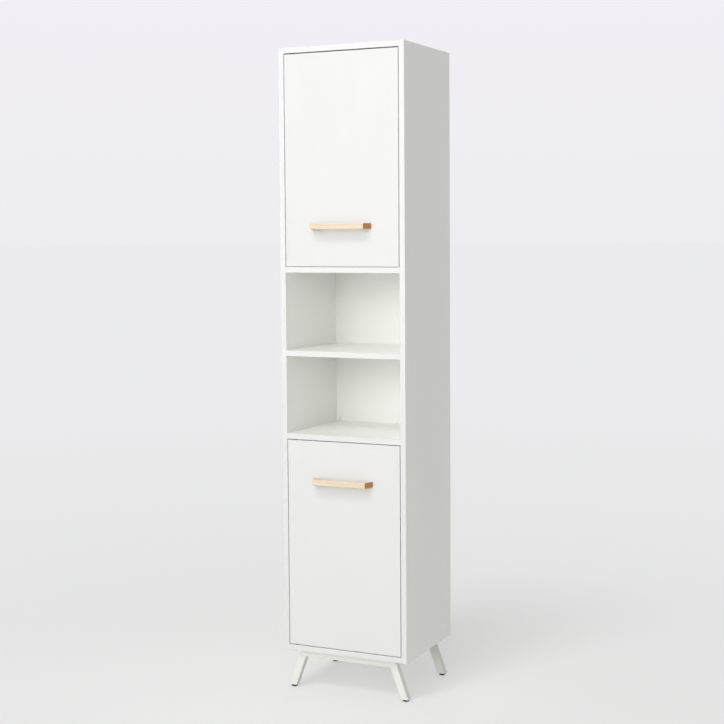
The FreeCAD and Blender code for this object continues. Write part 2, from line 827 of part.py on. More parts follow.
for frame_name, frame_front in zip(("front", "rear"), frame_y):
    save(frame_name + "_rail", rail(frame_front))
    for side_name, side in (("left", -1), ("right", 1)):
        save(frame_name + "_" + side_name + "_leg", leg_tube(side, frame_front))
        save(frame_name + "_" + side_name + "_glide", glide(side, frame_front))
save("leg_plugs", *[leg_plug(side, y) for y in frame_y for side in SIDES])
save("stand_screws", *[stand_screw(x, y) for x, y in stand_screw_places()])

save("wall_bracket", wall_bracket())
save("bracket_screws", *[screw(Vector(x, bracket_screw_y(), top_z - bracket_thickness), ALONG_Z,
                               bracket_thickness + bracket_screw_in) for x in bracket_screw_xs()])
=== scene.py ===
import bpy
import bmesh
import json
import math
from mathutils import Matrix, Vector

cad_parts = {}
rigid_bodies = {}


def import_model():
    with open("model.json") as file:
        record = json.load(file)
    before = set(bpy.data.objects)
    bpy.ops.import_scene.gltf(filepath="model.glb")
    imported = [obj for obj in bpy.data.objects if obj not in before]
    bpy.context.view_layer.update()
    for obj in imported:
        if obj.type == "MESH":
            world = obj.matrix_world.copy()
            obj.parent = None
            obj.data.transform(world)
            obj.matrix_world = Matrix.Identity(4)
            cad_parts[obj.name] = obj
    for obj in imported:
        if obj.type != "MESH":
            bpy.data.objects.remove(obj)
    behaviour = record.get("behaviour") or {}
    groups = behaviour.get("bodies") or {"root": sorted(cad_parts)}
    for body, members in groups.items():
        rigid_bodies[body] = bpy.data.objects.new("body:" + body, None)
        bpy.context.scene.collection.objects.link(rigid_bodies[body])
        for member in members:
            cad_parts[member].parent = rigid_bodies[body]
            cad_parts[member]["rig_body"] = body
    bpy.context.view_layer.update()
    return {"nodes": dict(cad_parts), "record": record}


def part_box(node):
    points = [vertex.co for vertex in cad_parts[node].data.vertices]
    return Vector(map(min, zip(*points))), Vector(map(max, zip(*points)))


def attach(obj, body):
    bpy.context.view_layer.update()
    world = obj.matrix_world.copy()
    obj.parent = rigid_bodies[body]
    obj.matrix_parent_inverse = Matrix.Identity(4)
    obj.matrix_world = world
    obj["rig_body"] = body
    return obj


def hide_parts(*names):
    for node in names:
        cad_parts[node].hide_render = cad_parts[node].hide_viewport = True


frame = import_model()
nodes = frame["nodes"]


# the eye stands 25 degrees to the right of the front; yaw, pitch and roll in degrees
cameraSet = {"place": (1.6666, -3.5620, 1.2230), "lens": 72.59, "sensor": 36.0,
             "yaw": 25.183, "pitch": -4.334, "roll": -0.388, "shiftY": -0.022,
             "near": 0.05, "far": 500.0}

lampAim = (0.0, 0.0, 0.9)  # the middle of the cabinet, between the two niches
lampSet = {
    "frontBox": {"place": (0.953, -6.780, 2.355), "size": 3.0, "power": 88.0},
    "wideBox": {"place": (0.75, -5.80, 4.712), "size": 5.0, "power": 132.0},
    "leftBox": {"place": (-2.710, -7.444, 2.013), "size": 4.0, "power": 118.0},
    "highBox": {"place": (-0.936, -4.401, 6.262), "size": 1.5, "power": 98.0},
    "rearBox": {"place": (-0.8, 4.8, 2.8), "size": 4.0, "power": 40.0},
}

# low to high is the sky's blend, near to far the floor's own glow, which takes over
# from the lit paper between fadeFrom and fadeTo (metres from the cabinet)
backdropSet = {"ambient": 0.40, "ambientColour": (0.99, 1.0, 0.965),
               "low": (0.848, 0.848, 0.864), "high": (0.887, 0.863, 0.922), "highAt": 0.16,
               "floorRadius": 200.0, "floorSides": 96, "floorDrop": 0.0005,
               "near": (0.785, 0.785, 0.787), "far": (0.836, 0.836, 0.851), "farAt": 8.0,
               "paper": (0.78, 0.78, 0.78), "paperRough": 0.9, "paperGloss": 0.1,
               "lift": 0.16, "ownLight": 0.3, "fadeFrom": 0.35, "fadeTo": 1.8}


def makeCamera(spec):
    lens = bpy.data.cameras.new("photoCamera")
    lens.lens = spec["lens"]
    lens.sensor_width = spec["sensor"]
    lens.shift_y = spec["shiftY"]
    lens.clip_start = spec["near"]
    lens.clip_end = spec["far"]
    camera = bpy.data.objects.new("photoCamera", lens)
    bpy.context.scene.collection.objects.link(camera)
    turn = (Matrix.Rotation(math.radians(spec["yaw"]), 4, "Z")
            @ Matrix.Rotation(math.radians(90 + spec["pitch"]), 4, "X")
            @ Matrix.Rotation(math.radians(spec["roll"]), 4, "Z"))
    camera.matrix_world = Matrix.Translation(spec["place"]) @ turn
    bpy.context.scene.camera = camera
    return camera


def makeLamp(name, spec):
    data = bpy.data.lights.new(name, "AREA")
    data.shape = "SQUARE"  # a softbox
    data.size = spec["size"]
    data.energy = spec["power"]
    lamp = bpy.data.objects.new(name, data)
    bpy.context.scene.collection.objects.link(lamp)
    lamp.location = spec["place"]
    lamp.visible_camera = False
    look = Vector(lampAim) - Vector(spec["place"])
    lamp.rotation_euler = look.to_track_quat("-Z", "Y").to_euler()
    return lamp


def addNode(tree, kind, **settings):
    made = tree.nodes.new(kind)
    for key, value in settings.items():
        setattr(made, key, value)
    return made


def setInputs(node, **values):
    for key, value in values.items():
        node.inputs[key.replace("_", " ")].default_value = value
    return node


# 1 for rays from the eye, a mirror or glass, otherwise 0
def seenByEye(tree):
    path = addNode(tree, "ShaderNodeLightPath")
    total = path.outputs["Is Camera Ray"]
    for other in ("Is Glossy Ray", "Is Transmission Ray"):
        larger = addNode(tree, "ShaderNodeMath", operation="MAXIMUM")
        tree.links.new(total, larger.inputs[0])
        tree.links.new(path.outputs[other], larger.inputs[1])
        total = larger.outputs[0]
    return total


# an even light on the object, and a pale blend behind it that only seen rays meet
def makeWorld(spec):
    world = bpy.data.worlds.new("studioAir")
    bpy.context.scene.world = world
    world.use_nodes = True
    tree = world.node_tree
    tree.nodes.clear()
    spot = addNode(tree, "ShaderNodeTexCoord")
    parts = addNode(tree, "ShaderNodeSeparateXYZ")
    rise = addNode(tree, "ShaderNodeMapRange")
    setInputs(rise, From_Max=spec["highAt"])
    blend = addNode(tree, "ShaderNodeMix", data_type="RGBA")
    setInputs(blend, A=(*spec["low"], 1), B=(*spec["high"], 1))
    shown = addNode(tree, "ShaderNodeBackground")
    light = addNode(tree, "ShaderNodeBackground")
    setInputs(light, Color=(*spec["ambientColour"], 1), Strength=spec["ambient"])
    both = addNode(tree, "ShaderNodeMixShader")
    out = addNode(tree, "ShaderNodeOutputWorld")
    tree.links.new(spot.outputs["Generated"], parts.inputs[0])
    tree.links.new(parts.outputs["Z"], rise.inputs["Value"])
    tree.links.new(rise.outputs["Result"], blend.inputs["Factor"])
    tree.links.new(blend.outputs["Result"], shown.inputs["Color"])
    tree.links.new(seenByEye(tree), both.inputs[0])
    tree.links.new(light.outputs[0], both.inputs[1])
    tree.links.new(shown.outputs[0], both.inputs[2])
    tree.links.new(both.outputs[0], out.inputs["Surface"])


# white paper that takes the shadow; further out it passes into an even glow
def makeFloor(spec):
    shape = bmesh.new()
    bmesh.ops.create_circle(shape, cap_ends=True, segments=spec["floorSides"],
                            radius=spec["floorRadius"])
    mesh = bpy.data.meshes.new("studioFloor")
    shape.to_mesh(mesh)
    shape.free()
    floor = bpy.data.objects.new("studioFloor", mesh)
    bpy.context.scene.collection.objects.link(floor)
    floor.location.z = -spec["floorDrop"]
    material = bpy.data.materials.new("paperSweep")
    material.use_nodes = True
    tree = material.node_tree
    tree.nodes.clear()
    seen = seenByEye(tree)
    spot = addNode(tree, "ShaderNodeTexCoord")
    reach = addNode(tree, "ShaderNodeVectorMath", operation="LENGTH")
    tree.links.new(spot.outputs["Object"], reach.inputs[0])

    span = addNode(tree, "ShaderNodeMapRange", interpolation_type="SMOOTHSTEP")
    setInputs(span, From_Max=spec["farAt"])
    blend = addNode(tree, "ShaderNodeMix", data_type="RGBA")
    setInputs(blend, A=(*spec["near"], 1), B=(*spec["far"], 1))
    glow = addNode(tree, "ShaderNodeEmission")
    tree.links.new(reach.outputs["Value"], span.inputs["Value"])
    tree.links.new(span.outputs["Result"], blend.inputs["Factor"])
    tree.links.new(blend.outputs["Result"], glow.inputs["Color"])

    paper = addNode(tree, "ShaderNodeBsdfPrincipled")
    setInputs(paper, Base_Color=(*spec["paper"], 1), Roughness=spec["paperRough"],
              Specular_IOR_Level=spec["paperGloss"], Emission_Color=(1, 1, 1, 1))
    lift = addNode(tree, "ShaderNodeMath", operation="MULTIPLY")
    lift.inputs[1].default_value = spec["lift"]
    tree.links.new(seen, lift.inputs[0])
    tree.links.new(lift.outputs[0], paper.inputs["Emission Strength"])

    fade = addNode(tree, "ShaderNodeMapRange", interpolation_type="SMOOTHSTEP")
    setInputs(fade, From_Min=spec["fadeFrom"], From_Max=spec["fadeTo"], To_Min=spec["ownLight"])
    share = addNode(tree, "ShaderNodeMath", operation="MULTIPLY")
    tree.links.new(reach.outputs["Value"], fade.inputs["Value"])
    tree.links.new(seen, share.inputs[0])
    tree.links.new(fade.outputs["Result"], share.inputs[1])

    both = addNode(tree, "ShaderNodeMixShader")
    out = addNode(tree, "ShaderNodeOutputMaterial")
    tree.links.new(share.outputs[0], both.inputs[0])
    tree.links.new(paper.outputs[0], both.inputs[1])
    tree.links.new(glow.outputs[0], both.inputs[2])
    tree.links.new(both.outputs[0], out.inputs["Surface"])
    mesh.materials.append(material)


bpy.context.scene.view_settings.view_transform = "Standard"
makeCamera(cameraSet)
for lampName, lampSpec in lampSet.items():
    makeLamp(lampName, lampSpec)
makeWorld(backdropSet)
makeFloor(backdropSet)
print("stage: camera, lamps, floor and backdrop are in place")


# inputs and outputs are {socket name: (kind, value)}
def newGroup(name, inputs, outputs):
    group = bpy.data.node_groups.new(name, "ShaderNodeTree")
    for key, (kind, value) in inputs.items():
        socket = group.interface.new_socket(key, in_out="INPUT", socket_type="NodeSocket" + kind)
        if value is not None:
            socket.default_value = value
    for key, (kind, value) in outputs.items():
        group.interface.new_socket(key, in_out="OUTPUT", socket_type="NodeSocket" + kind)
    return group, addNode(group, "NodeGroupInput"), addNode(group, "NodeGroupOutput")


# the vector times a fixed factor on each axis
def stretched(tree, source, factors):
    scaled = addNode(tree, "ShaderNodeVectorMath", operation="MULTIPLY")
    scaled.inputs[1].default_value = factors
    tree.links.new(source, scaled.inputs[0])
    return scaled.outputs["Vector"]


def noiseOf(tree, vector, scale, detail=2.0, rough=0.5):
    noise = addNode(tree, "ShaderNodeTexNoise")
    setInputs(noise, Scale=scale, Detail=detail, Roughness=rough)
    tree.links.new(vector, noise.inputs["Vector"])
    return noise


def mathOf(tree, operation, first, second, clamp=False):
    made = addNode(tree, "ShaderNodeMath", operation=operation, use_clamp=clamp)
    for place, value in enumerate((first, second)):
        if isinstance(value, (int, float)):
            made.inputs[place].default_value = value
        else:
            tree.links.new(value, made.inputs[place])
    return made.outputs[0]


def remap(tree, value, low, high, outLow=0.0, outHigh=1.0, smooth=True):
    made = addNode(tree, "ShaderNodeMapRange",
                   interpolation_type="SMOOTHSTEP" if smooth else "LINEAR")
    setInputs(made, From_Min=low, From_Max=high, To_Min=outLow, To_Max=outHigh)
    tree.links.new(value, made.inputs["Value"])
    return made.outputs["Result"]


def blendColours(tree, factor, first, second):
    made = addNode(tree, "ShaderNodeMix", data_type="RGBA")
    for key, value in (("Factor", factor), ("A", first), ("B", second)):
        if isinstance(value, (tuple, float)):
            made.inputs[key].default_value = value
        else:
            tree.links.new(value, made.inputs[key])
    return made.outputs["Result"]


# scale is pebbles per metre, unless a finish gives its own grain
pebbleSet = {"scale": 900.0, "coarser": 3.0, "fineShare": 0.6, "coarseShare": 0.4}


# the fine pebbled skin of foil, powder coat and moulded plastic
def makePebble(spec):
    group, given, made = newGroup("finePebble",
                                  {"Vector": ("Vector", None), "Scale": ("Float", spec["scale"])},
                                  {"Height": ("Float", None)})
    fine = noiseOf(group, given.outputs["Vector"], spec["scale"], 3.0, 0.55)
    coarse = noiseOf(group, given.outputs["Vector"], spec["scale"] / spec["coarser"], 1.0, 0.4)
    group.links.new(given.outputs["Scale"], fine.inputs["Scale"])
    group.links.new(mathOf(group, "DIVIDE", given.outputs["Scale"], spec["coarser"]),
                    coarse.inputs["Scale"])
    both = mathOf(group, "ADD", mathOf(group, "MULTIPLY", fine.outputs[0], spec["fineShare"]),
                  mathOf(group, "MULTIPLY", coarse.outputs[0], spec["coarseShare"]))
    group.links.new(both, made.inputs["Height"])
    return group


# patches are about 0.3 m across, streaks run upright; the pairs are where each fades in
handlingSet = {"patchScale": 3.2, "patchFade": (0.35, 0.75), "streakStretch": (26.0, 26.0, 3.0),
               "streakFade": (0.35, 0.8), "dulling": 0.12}


# slow changes of tone, and the faint wiped streaks of a surface that has been handled
def makeHandling(spec):
    group, given, made = newGroup("handling", {"Vector": ("Vector", None),
                                               "Clean": ("Color", (0.9, 0.9, 0.88, 1)),
                                               "Soiled": ("Color", (0.86, 0.86, 0.83, 1)),
                                               "Sheen": ("Float", 0.4)},
                                  {"Color": ("Color", None), "Roughness": ("Float", None)})
    slow = noiseOf(group, given.outputs["Vector"], spec["patchScale"], 2.0, 0.5)
    streak = noiseOf(group, stretched(group, given.outputs["Vector"], spec["streakStretch"]),
                     1.0, 4.0, 0.6)
    mask = mathOf(group, "MULTIPLY", remap(group, slow.outputs[0], *spec["patchFade"]),
                  remap(group, streak.outputs[0], *spec["streakFade"]), clamp=True)
    colour = blendColours(group, mask, given.outputs["Clean"], given.outputs["Soiled"])
    group.links.new(colour, made.inputs["Color"])
    uneven = mathOf(group, "SUBTRACT", streak.outputs[0], 0.5)
    dull = mathOf(group, "MULTIPLY", uneven, spec["dulling"])
    group.links.new(mathOf(group, "ADD", given.outputs["Sheen"], dull), made.inputs["Roughness"])
    return group


# the band is 0.9 mm thick; its glue line is a hair that fades over 0.06 mm
bandSet = {"solidTo": 0.00085, "endsAt": 0.0009, "lineAt": 0.00092, "lineCore": 0.00003,
           "lineFade": 0.00009, "lineShare": 0.5}


# the glued edge band on a board's front: its white, which here is written darker as painted shade,
# and the hairline where it ends
def makeEdgeBand(spec):
    group, given, made = newGroup("edgeBand", {"Vector": ("Vector", None),
                                               "Front": ("Float", 0.0),
                                               "Board": ("Color", (0.9, 0.9, 0.88, 1)),
                                               "Band": ("Color", (0.9, 0.9, 0.89, 1)),
                                               "Line": ("Color", (0.6, 0.58, 0.54, 1))},
                                  {"Color": ("Color", None), "Groove": ("Float", None)})
    parts = addNode(group, "ShaderNodeSeparateXYZ")
    group.links.new(given.outputs["Vector"], parts.inputs[0])
    depth = mathOf(group, "SUBTRACT", parts.outputs["Y"], given.outputs["Front"])
    inBand = remap(group, depth, spec["solidTo"], spec["endsAt"], 1.0, 0.0, smooth=False)
    away = mathOf(group, "ABSOLUTE", mathOf(group, "SUBTRACT", depth, spec["lineAt"]), 0.0)
    hairline = remap(group, away, spec["lineCore"], spec["lineFade"], 1.0, 0.0)
    colour = blendColours(group, inBand, given.outputs["Board"], given.outputs["Band"])
    faint = mathOf(group, "MULTIPLY", hairline, spec["lineShare"])
    group.links.new(blendColours(group, faint, colour, given.outputs["Line"]), made.inputs["Color"])
    group.links.new(mathOf(group, "SUBTRACT", 1.0, hairline), made.inputs["Groove"])
    return group


# stretches are waves per metre along x, y and z; the grain runs along x
figureSet = {"bendStretch": (6.0, 30.0, 30.0), "bend": 0.004,
             "streakStretch": (14.0, 420.0, 420.0), "streakShare": 0.55,
             "broadStretch": (5.0, 120.0, 120.0), "broadShare": 0.45, "figureFade": (0.34, 0.68),
             "fleckStretch": (420.0, 2600.0, 2600.0), "fleckFade": (0.66, 0.74),
             "fleckShare": 0.4, "fleckDepth": 0.5,
             "ringScale": 170.0, "ringWobble": 1.6, "heart": (0.0, 0.185, -0.012),
             "endBlend": 0.16, "endFade": (0.6, 0.8), "roughFrom": (0.3, 0.7),
             "rough": (0.42, 0.56)}


# beech: long streaks and short flecks on the sides, rings on the two end faces
def makeBeechFigure(spec):
    group, given, made = newGroup("beechFigure", {"Vector": ("Vector", None),
                                                  "Normal": ("Vector", None),
                                                  "Pale": ("Color", (0.9, 0.74, 0.55, 1)),
                                                  "Deep": ("Color", (0.78, 0.58, 0.38, 1)),
                                                  "End": ("Color", (0.55, 0.33, 0.17, 1))},
                                  {"Color": ("Color", None), "Height": ("Float", None),
                                   "Roughness": ("Float", None)})
    place = given.outputs["Vector"]
    bend = noiseOf(group, stretched(group, place, spec["bendStretch"]), 1.0, 2.0, 0.5)
    warp = addNode(group, "ShaderNodeVectorMath", operation="SCALE")
    setInputs(warp, Scale=spec["bend"])
    group.links.new(bend.outputs["Color"], warp.inputs[0])
    bent = addNode(group, "ShaderNodeVectorMath", operation="ADD")
    group.links.new(place, bent.inputs[0])
    group.links.new(warp.outputs[0], bent.inputs[1])
    bent = bent.outputs[0]
    streak = noiseOf(group, stretched(group, bent, spec["streakStretch"]), 1.0, 4.0, 0.6)
    broad = noiseOf(group, stretched(group, bent, spec["broadStretch"]), 1.0, 2.0, 0.5)
    fleck = noiseOf(group, stretched(group, place, spec["fleckStretch"]), 1.0, 1.0, 0.4)
    flecks = remap(group, fleck.outputs[0], *spec["fleckFade"])
    figure = mathOf(group, "ADD", mathOf(group, "MULTIPLY", streak.outputs[0], spec["streakShare"]),
                    mathOf(group, "MULTIPLY", broad.outputs[0], spec["broadShare"]))
    long = blendColours(group, remap(group, figure, *spec["figureFade"]), given.outputs["Pale"],
                        given.outputs["Deep"])
    long = blendColours(group, mathOf(group, "MULTIPLY", flecks, spec["fleckShare"]), long,
                        given.outputs["End"])

    fromHeart = addNode(group, "ShaderNodeVectorMath", operation="ADD")
    fromHeart.inputs[1].default_value = spec["heart"]
    group.links.new(bent, fromHeart.inputs[0])
    rings = addNode(group, "ShaderNodeTexWave", wave_type="RINGS", rings_direction="X")
    setInputs(rings, Scale=spec["ringScale"], Distortion=spec["ringWobble"], Detail=3.0,
              Detail_Scale=2.0)
    group.links.new(fromHeart.outputs[0], rings.inputs["Vector"])
    pale = blendColours(group, spec["endBlend"], given.outputs["End"], given.outputs["Deep"])
    end = blendColours(group, rings.outputs["Fac"], given.outputs["End"], pale)

    facing = addNode(group, "ShaderNodeSeparateXYZ")
    group.links.new(given.outputs["Normal"], facing.inputs[0])
    onEnd = remap(group, mathOf(group, "ABSOLUTE", facing.outputs["X"], 0.0), *spec["endFade"])
    group.links.new(blendColours(group, onEnd, long, end), made.inputs["Color"])
    pores = mathOf(group, "SUBTRACT", figure, mathOf(group, "MULTIPLY", flecks, spec["fleckDepth"]))
    group.links.new(pores, made.inputs["Height"])
    dullness = remap(group, figure, *spec["roughFrom"], *spec["rough"])
    group.links.new(dullness, made.inputs["Roughness"])
    return group


pebble = makePebble(pebbleSet)
handling = makeHandling(handlingSet)
edgeBand = makeEdgeBand(bandSet)
beechFigure = makeBeechFigure(figureSet)
print("stage: shared effects are built")


def startMaterial(name):
    material = bpy.data.materials.new(name)
    material.use_nodes = True
    tree = material.node_tree
    tree.nodes.clear()
    shader = addNode(tree, "ShaderNodeBsdfPrincipled")
    out = addNode(tree, "ShaderNodeOutputMaterial")
    tree.links.new(shader.outputs[0], out.inputs["Surface"])
    spot = addNode(tree, "ShaderNodeTexCoord")
    return material, tree, shader, spot


def useGroup(tree, group, links, **values):
    made = addNode(tree, "ShaderNodeGroup", node_tree=group)
    for key, source in links.items():
        tree.links.new(source, made.inputs[key])
    for key, value in values.items():
        made.inputs[key].default_value = value
    return made


def addRelief(tree, shader, height, strength, distance):
    bump = addNode(tree, "ShaderNodeBump")
    setInputs(bump, Strength=strength, Distance=distance)
    tree.links.new(height, bump.inputs["Height"])
    tree.links.new(bump.outputs[0], shader.inputs["Normal"])
    return bump


# the skin that all the plain finishes share: its height, its colour and its roughness
def wornSkin(tree, place, spec):
    skin = useGroup(tree, pebble, {"Vector": place}, Scale=spec["grain"])
    worn = useGroup(tree, handling, {"Vector": place}, Clean=spec["clean"], Soiled=spec["soiled"],
                    Sheen=spec["sheen"])
    return skin.outputs["Height"], worn.outputs["Color"], worn.outputs["Roughness"]


# colours are linear; the doors and edge bands are written darker than the board faces, because the
# photo holds all the whites close together: painted shade, darker copies of the same white on the
# front faces that the lamps light most
boardSet = {"clean": (0.955, 0.960, 0.928, 1), "soiled": (0.935, 0.938, 0.905, 1),
            "band": (0.706, 0.706, 0.702, 1), "line": (0.55, 0.54, 0.50, 1), "sheen": 0.24,
            "grain": 1500.0, "relief": 0.10, "bumpDepth": 0.00008}
doorShadeSet = dict(boardSet, clean=(0.703, 0.703, 0.700, 1), soiled=(0.691, 0.691, 0.686, 1),
               sheen=0.42)
backSet = dict(boardSet, sheen=0.5, relief=0.16, grain=900.0)


# melamine-faced board, with or without an edge band on its front
def makeBoardWhite(name, spec, banded):
    material, tree, shader, spot = startMaterial(name)
    place = spot.outputs["Object"]
    height, colour, dullness = wornSkin(tree, place, spec)
    if banded:
        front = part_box("left_side_panel")[0].y
        # the band's colour is the board white darkened, a painted shade on the front edges
        edge = useGroup(tree, edgeBand, {"Vector": place, "Board": colour}, Front=front,
                        Band=spec["band"], Line=spec["line"])
        colour = edge.outputs["Color"]
        height = mathOf(tree, "MULTIPLY", height, edge.outputs["Groove"])
    tree.links.new(colour, shader.inputs["Base Color"])
    tree.links.new(dullness, shader.inputs["Roughness"])
    addRelief(tree, shader, height, spec["relief"], spec["bumpDepth"])
    return material


beechSet = {"pale": (0.77, 0.655, 0.500, 1), "deep": (0.69, 0.535, 0.365, 1),
            "end": (0.43, 0.172, 0.024, 1), "relief": 0.25, "bumpDepth": 0.0001,
            "oil": 0.12, "oilRough": 0.35}
dowelSet = dict(beechSet, pale=(0.74, 0.61, 0.44, 1))


def makeBeech(name, spec):
    material, tree, shader, spot = startMaterial(name)
    figure = useGroup(tree, beechFigure, {"Vector": spot.outputs["Object"],
                                          "Normal": spot.outputs["Normal"]},
                      Pale=spec["pale"], Deep=spec["deep"], End=spec["end"])
    tree.links.new(figure.outputs["Color"], shader.inputs["Base Color"])
    tree.links.new(figure.outputs["Roughness"], shader.inputs["Roughness"])
    setInputs(shader, Coat_Weight=spec["oil"], Coat_Roughness=spec["oilRough"])
    addRelief(tree, shader, figure.outputs["Height"], spec["relief"], spec["bumpDepth"])
    return material


coatSet = {"clean": (0.755, 0.765, 0.718, 1), "soiled": (0.72, 0.728, 0.68, 1), "sheen": 0.38,
           "grain": 2200.0, "relief": 0.22, "bumpDepth": 0.00012, "coat": 0.15, "coatRough": 0.3}
plasticSet = {"blackNylon": {"clean": (0.010, 0.010, 0.011, 1), "soiled": (0.018, 0.018, 0.017, 1),
                             "sheen": 0.50, "relief": 0.2},
              # the near black of the bore wall is painted shade on white plastic
              "paintedShadeBore": {"clean": (0.030, 0.024, 0.018, 1), "soiled": (0.045, 0.036, 0.027, 1),
                             "sheen": 0.7, "relief": 0.2},
              "whitePlastic": {"clean": (0.90, 0.90, 0.88, 1), "soiled": (0.85, 0.85, 0.82, 1),
                               "sheen": 0.32, "relief": 0.1}}
plasticSkin = {"grain": 3000.0, "bumpDepth": 0.00008}  # the same on every plastic
metalSet = {"zincSteel": {"clean": (0.66, 0.67, 0.70, 1), "soiled": (0.52, 0.52, 0.52, 1),
                          "sheen": 0.30, "grain": 1800.0, "relief": 0.08},
            "oiledSteel": {"clean": (0.075, 0.072, 0.070, 1), "soiled": (0.05, 0.048, 0.046, 1),
                           "sheen": 0.42, "grain": 1800.0, "relief": 0.08},
            "castZinc": {"clean": (0.50, 0.51, 0.53, 1), "soiled": (0.40, 0.40, 0.40, 1),
                         "sheen": 0.48, "grain": 1600.0, "relief": 0.35},
            "magnetSteel": {"clean": (0.24, 0.24, 0.26, 1), "soiled": (0.17, 0.17, 0.17, 1),
                            "sheen": 0.5, "grain": 2500.0, "relief": 0.3}}
metalSkin = {"bumpDepth": 0.00006, "metallic": 1.0}  # the same on every metal


# powder coat, plastic or metal
def makeFinish(name, spec):
    material, tree, shader, spot = startMaterial(name)
    height, colour, dullness = wornSkin(tree, spot.outputs["Object"], spec)
    tree.links.new(colour, shader.inputs["Base Color"])
    tree.links.new(dullness, shader.inputs["Roughness"])
    if "metallic" in spec:
        setInputs(shader, Metallic=spec["metallic"])
    if "coat" in spec:
        setInputs(shader, Coat_Weight=spec["coat"], Coat_Roughness=spec["coatRough"])
    addRelief(tree, shader, height, spec["relief"], spec["bumpDepth"])
    return material


boardWhite = makeBoardWhite("boardWhite", boardSet, True)
# the doors take the darkened copy of the board white, which is painted shade
doorShadedWhite = makeBoardWhite("doorShadedWhite", doorShadeSet, False)
backWhite = makeBoardWhite("backWhite", backSet, False)
coatWhite = makeFinish("whitePowderCoat", coatSet)
beechWood = makeBeech("beechWood", beechSet)
dowelWood = makeBeech("dowelWood", dowelSet)
plastics = {name: makeFinish(name, {**plasticSkin, **spec}) for name, spec in plasticSet.items()}
metals = {name: makeFinish(name, {**metalSkin, **spec}) for name, spec in metalSet.items()}

# one finish for each material slot of the record; the doors and the pins have their own
finishes = {"white_board": boardWhite, "white_back": backWhite, "white_steel": coatWhite,
            "beech": beechWood, "beech_dowel": dowelWood,
            "black_nylon": plastics["blackNylon"], "white_plastic": plastics["whitePlastic"],
            "zinc_steel": metals["zincSteel"], "cast_zinc": metals["castZinc"],
            "magnet_steel": metals["magnetSteel"]}
ownFinish = {"upper_door": doorShadedWhite, "lower_door": doorShadedWhite,
             "upper_hinge_pins": metals["oiledSteel"], "lower_hinge_pins": metals["oiledSteel"]}
slotOf = {part["node"]: part["material_slot"] for part in frame["record"]["subparts"]}
for nodeName, node in nodes.items():
    node.data.materials.clear()
    node.data.materials.append(ownFinish.get(nodeName, finishes[slotOf[nodeName]]))
print("stage: every frame node has its finish")


# a mesh object from a bmesh, smooth except at its sharp edges
def addPiece(name, shape, material, smoothAngle=35.0):
    mesh = bpy.data.meshes.new(name)
    bmesh.ops.recalc_face_normals(shape, faces=shape.faces)
    shape.to_mesh(mesh)
    shape.free()
    mesh.shade_smooth()
    mesh.set_sharp_from_angle(angle=math.radians(smoothAngle))
    mesh.materials.append(material)
    piece = bpy.data.objects.new(name, mesh)
    bpy.context.scene.collection.objects.link(piece)
    return piece


# the piece takes the node's place, its body and its finish
def standFor(piece, nodeName):
    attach(piece, nodes[nodeName]["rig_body"])
    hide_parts(nodeName)


# points on an arc, in the plane; angles in radians
def arcPoints(centre, radius, start, end, steps):
    return [(centre[0] + radius * math.cos(start + (end - start) * k / steps),
             centre[1] + radius * math.sin(start + (end - start) * k / steps))
            for k in range(steps + 1)]


# bar is the front bar's thickness, foot each foot's width where it meets the bar
handleSet = {"frontLength": 0.153, "bar": 0.012, "foot": 0.019, "easing": 0.0012,
             "innerRound": 0.004, "easeSteps": 4, "roundSteps": 8, "sharpAngle": 30.0}


# the wooden bridge: two feet that lean outwards, a straight bar, all edges eased
def makeHandle(door, spec):
    low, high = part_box(door + "_handle")
    backHalf = (high.x - low.x) / 2
    frontHalf = spec["frontLength"] / 2
    depth = high.y - low.y
    lean = (backHalf - frontHalf) / depth
    innerFront = frontHalf - spec["foot"] + lean * spec["bar"]
    innerBack = frontHalf - spec["foot"] + lean * depth
    barBack = low.y + spec["bar"]
    angle = math.atan(lean)
    radius = spec["innerRound"]
    reach = radius * math.tan((math.pi / 2 - angle) / 2)
    middle = (innerFront - reach, barBack + radius)
    turn = arcPoints(middle, radius, -math.pi / 2, -angle, spec["roundSteps"])
    right = [(frontHalf, low.y), (backHalf, high.y), (innerBack, high.y)] + turn[::-1]
    plan = right + [(-x, y) for x, y in reversed(right)]
    shape = bmesh.new()
    floor = [shape.verts.new((x, y, low.z)) for x, y in plan]
    face = shape.faces.new(floor)
    lifted = bmesh.ops.extrude_face_region(shape, geom=[face])["geom"]
    bmesh.ops.translate(shape, vec=(0, 0, high.z - low.z),
                        verts=[v for v in lifted if isinstance(v, bmesh.types.BMVert)])
    piece = addPiece(door + "HandleBridge", shape, beechWood)
    ease = piece.modifiers.new("easedEdges", "BEVEL")
    ease.width = spec["easing"]
    ease.segments = spec["easeSteps"]
    ease.limit_method = "ANGLE"
    ease.angle_limit = math.radians(spec["sharpAngle"])
    ease.harden_normals = True
    standFor(piece, door + "_handle")
    return piece


for doorName in ("upper", "lower"):
    makeHandle(doorName, handleSet)
print("stage: handles are built")


# profile holds (distance along the axis, radius) pairs; an open start leaves room for a head's face
def turnInto(shape, start, along, profile, segments):
    axis = Vector(along).normalized()
    side = axis.orthogonal().normalized()
    other = axis.cross(side)
    angles = [2 * math.pi * k / segments for k in range(segments)]
    rings = []
    for far, radius in profile:
        centre = Vector(start) + axis * far
        if radius <= 0:
            rings.append([shape.verts.new(centre)])
        else:
            spokes = [side * math.cos(t) + other * math.sin(t) for t in angles]
            rings.append([shape.verts.new(centre + spoke * radius) for spoke in spokes])
    for first, second in zip(rings, rings[1:]):
        for k in range(segments):
            near = (k + 1) % segments
            if len(first) == 1:
                shape.faces.new((first[0], second[k], second[near]))
            elif len(second) == 1:
                shape.faces.new((first[k], first[near], second[0]))
            else:
                shape.faces.new((first[k], first[near], second[near], second[k]))
    return rings


